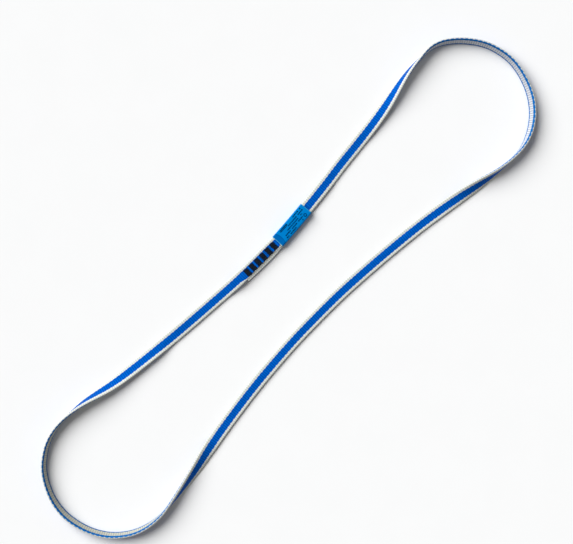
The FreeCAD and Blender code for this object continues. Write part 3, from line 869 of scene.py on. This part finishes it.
# name, joint key, from s, to s, body before, body after, reach of the bend, joint name, CAD nodes it stands for
mid = lambda a, b: groove((S[a] + S[b]) / 2)
RUNS = [
    ("web_spliced_leg_upper", "F1A", 0.0, mid("F1A", "F3A"), "spliced_leg_middle", "spliced_leg_upper_inner", 8, "fold_upper_inner", ["tape_splice_lower_layer"]),
    ("web_spliced_leg_upper_fold", "F3A", mid("F1A", "F3A"), mid("F3A", "P1"), "spliced_leg_upper_inner", "spliced_leg_upper_outer", 8, "fold_upper_outer", ["tape_spliced_leg_upper_inner"]),
    ("web_upper_neck_near", "P1", mid("F3A", "P1"), mid("P1", "U"), "spliced_leg_upper_outer", "upper_bight_near", 28, "neck_upper_near", ["tape_spliced_leg_upper_outer"]),
    ("web_upper_crown", "U", mid("P1", "U"), mid("U", "P3"), "upper_bight_near", "upper_bight_far", 40, "crown_upper", ["tape_upper_bight_near", "tape_upper_bight_far"]),
    ("web_upper_neck_far", "P3", mid("U", "P3"), mid("P3", "F3B"), "upper_bight_far", "plain_leg_upper_outer", 28, "neck_upper_far", ["tape_plain_leg_upper_outer"]),
    ("web_plain_leg_upper_fold", "F3B", mid("P3", "F3B"), mid("F3B", "F1B"), "plain_leg_upper_outer", "plain_leg_upper_inner", 8, "fold_upper_outer_plain", ["tape_plain_leg_upper_inner"]),
    ("web_plain_leg_upper", "F1B", mid("F3B", "F1B"), groove(S["J"]), "plain_leg_upper_inner", "plain_leg_middle_upper", 8, "fold_upper_inner_plain", ["tape_plain_leg_middle_upper"]),
    ("web_plain_leg_lower", "F2B", groove(S["J"]), mid("F2B", "F4B"), "plain_leg_middle_lower", "plain_leg_lower_inner", 8, "fold_lower_inner_plain", ["tape_plain_leg_middle_lower"]),
    ("web_plain_leg_lower_fold", "F4B", mid("F2B", "F4B"), mid("F4B", "P4"), "plain_leg_lower_inner", "plain_leg_lower_outer", 8, "fold_lower_outer_plain", ["tape_plain_leg_lower_inner"]),
    ("web_lower_neck_far", "P4", mid("F4B", "P4"), mid("P4", "L"), "plain_leg_lower_outer", "lower_bight_far", 28, "neck_lower_far", ["tape_plain_leg_lower_outer"]),
    ("web_lower_crown", "L", mid("P4", "L"), mid("L", "P2"), "lower_bight_far", "lower_bight_near", 40, "crown_lower", ["tape_lower_bight_far", "tape_lower_bight_near"]),
    ("web_lower_neck_near", "P2", mid("L", "P2"), mid("P2", "F4A"), "lower_bight_near", "spliced_leg_lower_outer", 28, "neck_lower_near", ["tape_spliced_leg_lower_outer"]),
    ("web_spliced_leg_lower_fold", "F4A", mid("P2", "F4A"), mid("F4A", "F2A"), "spliced_leg_lower_outer", "spliced_leg_lower_inner", 8, "fold_lower_outer", ["tape_spliced_leg_lower_inner"]),
    ("web_spliced_leg_lower", "F2A", mid("F4A", "F2A"), LENGTH, "spliced_leg_lower_inner", "spliced_leg_middle", 8, "fold_lower_inner", ["tape_splice_upper_layer"]),
]
for name, key, s0, s1, a, b, reach, joint, stands in RUNS:
    ob = tape_piece(name, s0, s1, end0=(s0 == 0.0), end1=(s1 == LENGTH))
    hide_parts(*stands)
    sj = S[key]
    d = heading(np.array([sj]))[0]
    if key[0] == "F":  # a fold line runs straight across, along Y
        d = np.array([math.copysign(1.0, d[0]), 0.0])
    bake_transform(ob)


# ---------------------------------------------------------------------------------
# thread
# ---------------------------------------------------------------------------------
def tubes(name, paths, radius, sides=8, mat=MAT_THREAD):
    """Closed tubes along each path (mm), with rounded ends, as one mesh."""
    verts, faces = [], []
    at = {"th_s": [], "th_a": [], "th_k": []}
    for k, p in enumerate(paths):
        p = np.asarray(p, float)
        n = len(p)
        t = np.gradient(p, axis=0)
        t /= np.linalg.norm(t, axis=1)[:, None]
        ref = np.array([0, 0, 1.0])
        side = np.cross(t, ref)
        ln = np.linalg.norm(side, axis=1)
        side = np.where(ln[:, None] > 1e-3, side / np.maximum(ln, 1e-9)[:, None], np.array([0, 1.0, 0]))
        upv = np.cross(side, t)
        arc = np.r_[0, np.cumsum(np.linalg.norm(np.diff(p, axis=0), axis=1))]
        base = len(verts)
        r = radius[k] if hasattr(radius, "__len__") else radius
        for i in range(n):
            rr = r * (0.55 if i in (0, n - 1) else 1.0)
            for j in range(sides):
                th = 2 * math.pi * j / sides
                verts.append((p[i] + rr * (math.cos(th) * side[i] + math.sin(th) * upv[i])).tolist())
                at["th_s"].append(arc[i] + k * 1.7)
                at["th_a"].append(th if th < math.pi else 2 * math.pi - th)
                at["th_k"].append(k)
        for i in range(n - 1):
            for j in range(sides):
                a, b = base + i * sides + j, base + i * sides + (j + 1) % sides
                faces.append([a, a + sides, b + sides, b])
        faces.append([base + j for j in range(sides)])
        faces.append([base + (n - 1) * sides + j for j in reversed(range(sides))])
    ob = mesh_object(name, verts, faces, attrs=at)
    ob.data.materials.append(mat)
    return ob


def tack(i, x, y, ang):
    """Satin stitches over the pad, on the top face and on the underside, as separate strands."""
    ca, sa = math.cos(ang), math.sin(ang)
    n = 19
    paths, radii = [], []
    for face in (1, -1):
        for q in range(n):
            r1, r2, r3 = (float(rand(np.array(i * 37.0 + q), np.array(face * 3.1 + m))) for m in range(3))
            v0 = -TACK_W / 2 + 0.2 + (TACK_W - 0.4) * (q + 0.5) / n
            slant = 0.19 * (1 if q % 2 else -1)
            u0, u1 = -TACK_L / 2 - 0.36 + 0.55 * (r1 - 0.5), TACK_L / 2 + 0.36 + 0.55 * (r2 - 0.5)
            pts = []
            for t in np.linspace(0, 1, 11):
                u = u0 + (u1 - u0) * t
                v = v0 + slant * (t - 0.5) * 2 + 0.05 * math.sin(7 * t + q)
                edge = min(t, 1 - t)
                rise = -0.34 + 0.42 * float(smooth(np.array(edge / 0.12))) + 0.05 * math.sin(math.pi * t) + 0.04 * (r3 - 0.5)
                z = (Z_TOP - 0.12 + rise) if face > 0 else (Z_BOT + 0.12 - rise)
                pts.append((x + u * ca - v * sa, y + u * sa + v * ca, z))
            paths.append(pts)
            radii.append(0.205 + 0.02 * (r3 - 0.5))
    ob = tubes("stitch_bar_tack_%02d" % (i + 1), paths, radii, sides=8)
    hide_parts("bar_tack_%02d" % (i + 1))
    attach(ob, "spliced_leg_middle")


for i, (x, y, ang) in enumerate(TACKS):
    tack(i, x, y, ang)

jump_paths = []
for i, ((x0, y0, a0), (x1, y1, a1)) in enumerate(zip(TACKS, TACKS[1:])):
    off = -(TACK_W / 2 - 0.35)
    ax, ay = x0 - off * math.sin(a0) + math.cos(a0) * (TACK_L / 2 - 0.5), y0 + off * math.cos(a0) + math.sin(a0) * (TACK_L / 2 - 0.5)
    bx, by = x1 - off * math.sin(a1) - math.cos(a1) * (TACK_L / 2 - 0.5), y1 + off * math.cos(a1) - math.sin(a1) * (TACK_L / 2 - 0.5)
    bow = 0.35 * (float(rand(np.array(i * 5.0), np.array(2.0))) - 0.3)
    pts = []
    for t in np.linspace(0, 1, 15):
        sag = 4 * t * (1 - t)
        pts.append((ax + (bx - ax) * t, ay + (by - ay) * t - bow * sag, Z_TOP + 0.10 + 0.06 * math.cos(2 * math.pi * t)))
    jump_paths.append(pts)
ob = tubes("stitch_thread_jumps", jump_paths, 0.17, sides=8)
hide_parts("tack_thread_jumps")
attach(ob, "spliced_leg_middle")


# ---------------------------------------------------------------------------------
# printed sleeve
# ---------------------------------------------------------------------------------
def sleeve():
    n_l = 150
    side = []  # outline of the section: (u, z, nu, nz), counter-clockwise seen from the lower end
    h, r = SLEEVE_W / 2, 1.25
    def line(u0, z0, u1, z1, n, nu, nz):
        for i in range(n):
            t = i / n
            side.append((u0 + (u1 - u0) * t, z0 + (z1 - z0) * t, nu, nz))
    def corner(cu, cz, a0, n=8):
        for i in range(n):
            th = math.radians(a0 + 90 * i / n)
            side.append((cu + r * math.cos(th), cz + r * math.sin(th), math.cos(th), math.sin(th)))
    H = SLEEVE_H
    line(h - r, H, -h + r, H, 44, 0, 1)
    corner(-h + r, H - r, 90)
    line(-h, H - r, -h, r, 12, -1, 0)
    corner(-h + r, r, 180)
    line(-h + r, 0, h - r, 0, 36, 0, -1)
    corner(h - r, r, 270)
    line(h, r, h, H - r, 12, 1, 0)
    corner(h - r, H - r, 0)
    P = np.array(side)
    m = len(P)
    tt = np.linspace(0, SLEEVE_L, n_l + 1)
    b0 = math.asin((SLEEVE_X0 - ARC_CX) / ARC_R)

    def surface(inner):
        wall = 0.3 if inner else 0.0
        u = P[None, :, 0] - P[None, :, 2] * wall
        z = P[None, :, 1] - P[None, :, 3] * (0.33 if inner else 0.0)
        t = np.broadcast_to(tt[:, None], (len(tt), m)).copy()
        u = np.broadcast_to(u, t.shape).copy()
        z = np.broadcast_to(z, t.shape).copy()
        topness = np.clip(P[None, :, 3], 0, 1) * np.ones_like(t)
        lat = np.clip(1 - (np.abs(P[None, :, 0]) / 6.0) ** 2, 0, 1)
        # the film lies low over the step at the lower end and swells past a curved crease
        crease = 4.9 - 1.5 * (np.abs(P[None, :, 0]) / 6.0) ** 2
        rise = smooth((t - crease + 1.6) / 2.2)
        z += topness * 0.30 * rise * (0.35 + 0.65 * lat)
        ridge = np.exp(-(((t - crease - 0.3) / 0.45) ** 2)) * topness
        z += 0.06 * ridge
        # hugs the tacks and layers beneath: faint swells at the tack pitch
        for tx in TACK_X[6:]:
            z += topness * 0.035 * np.exp(-(((t - (tx - SLEEVE_X0)) / 1.6) ** 2)) * lat
        # settles where the upper layer stops
        z -= topness * 0.10 * smooth((t - 32.3) / 1.6) * lat
        # cut ends: slightly ragged
        rag0 = 0.10 * (rand(np.round(P[None, :, 0] * 1.3), np.round(P[None, :, 1] * 2.0)) - 0.5)
        t += (1 - smooth(t / 1.0)) * rag0 * 1.2 + smooth((t - SLEEVE_L + 1.0)) * rag0
        z = np.maximum(z, 0.0) if not inner else z
        b = b0 + t / ARC_R
        rr = ARC_R - u
        x = ARC_CX + rr * np.sin(b)
        y = ARC_CY - rr * np.cos(b)
        return np.stack([x, y, z], -1), t, u

    po, to, uo = surface(False)
    pi, ti, ui = surface(True)
    k = len(tt)
    verts = np.vstack([po.reshape(-1, 3), pi.reshape(-1, 3)])
    fo = grid_faces(k, m)
    fi = grid_faces(k, m)[:, ::-1] + k * m
    j = np.arange(m)
    j2 = (j + 1) % m
    r0 = np.stack([j2, j, j + k * m, j2 + k * m], -1)
    e = (k - 1) * m
    r1 = np.stack([j + e, j2 + e, j2 + e + k * m, j + e + k * m], -1)
    faces = np.vstack([fo, fi, r0, r1])
    f = np.tile(P[:, 3], k)
    at = {
        "sl_s": np.r_[to.ravel(), ti.ravel()],
        "sl_w": np.r_[uo.ravel(), ui.ravel()],
        "sl_f": np.r_[f, f * 0.0 - 1.0],
    }
    ob = mesh_object("printed_label_sleeve", verts, faces, attrs=at)
    ob.data.materials.append(MAT_SLEEVE)
    ev = np.zeros(len(ob.data.edges) * 2, int)
    ob.data.edges.foreach_get("vertices", ev)
    ev = ev.reshape(-1, 2)
    sharp = np.zeros(len(ev), bool)
    for base in (0, e, k * m, k * m + e):
        sharp |= ((ev >= base) & (ev < base + m)).all(1)
    a = ob.data.attributes.get("sharp_edge") or ob.data.attributes.new("sharp_edge", "BOOLEAN", "EDGE")
    a.data.foreach_set("value", sharp)
    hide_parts("label_sleeve")
    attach(ob, "label_sleeve")
    return ob


sleeve()

# ---------------------------------------------------------------------------------
# stage, light, camera
# ---------------------------------------------------------------------------------
floor_mesh = bpy.data.meshes.new("floor")
floor_mesh.from_pydata([(-60, -60, 0), (60, -60, 0), (60, 60, 0), (-60, 60, 0)], [], [(0, 1, 2, 3)])
floor = bpy.data.objects.new("floor", floor_mesh)
floor.location.z = -0.0001
bpy.context.scene.collection.objects.link(floor)
F = Nodes("pale_floor")
g = F.t.nodes.new("ShaderNodeNewGeometry")
fn = F.noise(g.outputs["Position"], 30.0, 3.0, 0.5)
F.bsdf(F.mix(fn, (0.84, 0.84, 0.84), (0.86, 0.86, 0.86)), 0.9, spec=0.1)
floor_mesh.materials.append(F.mat)
# the floor stays just under the lowest body, so that a half folded downwards isn't buried in it
low = floor.driver_add("location", 2).driver
low.type = "MIN"
for body in sorted(frame["bodies"]):
    inside = [n for n, o in frame["nodes"].items() if o.parent is frame["bodies"][body]]
    corners = [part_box(n) for n in inside]
    lo = [min(c[0][i] for c in corners) for i in range(3)]
    hi = [max(c[1][i] for c in corners) for i in range(3)]
    for k in range(8):
        probe = bpy.data.objects.new("floor_probe", None)
        probe.parent = frame["bodies"][body]
        probe.location = [(lo, hi)[k >> i & 1][i] for i in range(3)]
        probe.location.z -= 0.0001
        probe.empty_display_size = 0.001
        bpy.context.scene.collection.objects.link(probe)
        var = low.variables.new()
        var.type = "TRANSFORMS"
        var.targets[0].id = probe
        var.targets[0].transform_type = "LOC_Z"
        var.targets[0].transform_space = "WORLD_SPACE"

world = bpy.data.worlds.new("studio")
world.use_nodes = True
world.node_tree.nodes["Background"].inputs[0].default_value = (1.0, 0.985, 0.965, 1.0)
world.node_tree.nodes["Background"].inputs[1].default_value = 0.20
# the camera sees a pale backdrop beyond the floor, while the fill light stays low
rays = world.node_tree.nodes.new("ShaderNodeLightPath")
seen = world.node_tree.nodes.new("ShaderNodeMath")
seen.operation = "MULTIPLY_ADD"
seen.inputs[1].default_value = 0.72
seen.inputs[2].default_value = 0.20
world.node_tree.links.new(rays.outputs["Is Camera Ray"], seen.inputs[0])
world.node_tree.links.new(seen.outputs[0], world.node_tree.nodes["Background"].inputs[1])
bpy.context.scene.world = world

CAM_D = 1.25
# the picture's right is (X - Y)/sqrt 2 and its top is (X + Y)/sqrt 2
RIGHT = Vector((1, -1, 0)).normalized()
UPV = Vector((1, 1, 0)).normalized()


def area(name, direction, dist, size, power, color=(1, 1, 1)):
    """direction: picture right, picture up, towards the viewer"""
    li = bpy.data.lights.new(name, "AREA")
    li.shape = "DISK"
    li.size = size
    li.energy = power
    li.color = color
    ob = bpy.data.objects.new(name, li)
    d = RIGHT * direction[0] + UPV * direction[1] + Vector((0, 0, 1)) * direction[2]
    d.normalize()
    ob.location = d * dist
    ob.rotation_euler = (-d).to_track_quat("-Z", "Y").to_euler()
    bpy.context.scene.collection.objects.link(ob)
    return ob


sun = bpy.data.lights.new("key", "SUN")
sun.energy = 4.42
sun.color = (0.985, 0.994, 1.0)
sun.angle = math.radians(50)
sun_ob = bpy.data.objects.new("key", sun)
d = (RIGHT * -0.80 + UPV * 0.62 + Vector((0, 0, 1)) * 0.92).normalized()
sun_ob.rotation_euler = (-d).to_track_quat("-Z", "Y").to_euler()
bpy.context.scene.collection.objects.link(sun_ob)

cam_data = bpy.data.cameras.new("camera")
cam_data.sensor_width = 36.0
# 573 pixels across cover PX_MM millimetres each at the floor
PX_MM = 0.838671
cam_data.lens = 36.0 * CAM_D * 1000 / (573 * PX_MM)
cam_data.clip_start = 0.05
cam_data.clip_end = 10
cam = bpy.data.objects.new("camera", cam_data)
# the picture's centre, in millimetres right and up of the origin
CR, CU = -1.5440, 13.3640
centre = RIGHT * ((CR - PX_MM / 2) * MM) + UPV * ((CU + PX_MM / 2) * MM)
cam.location = centre + Vector((0, 0, CAM_D))
# looks straight down with the picture's top towards +X +Y
cam.matrix_world = Matrix((
    (RIGHT.x, UPV.x, 0, cam.location.x),
    (RIGHT.y, UPV.y, 0, cam.location.y),
    (0, 0, 1, cam.location.z),
    (0, 0, 0, 1),
))
bpy.context.scene.collection.objects.link(cam)
bpy.context.scene.camera = cam
bpy.context.scene.view_settings.view_transform = "Standard"
bpy.context.scene.view_settings.look = "None"

bpy.context.view_layer.update()
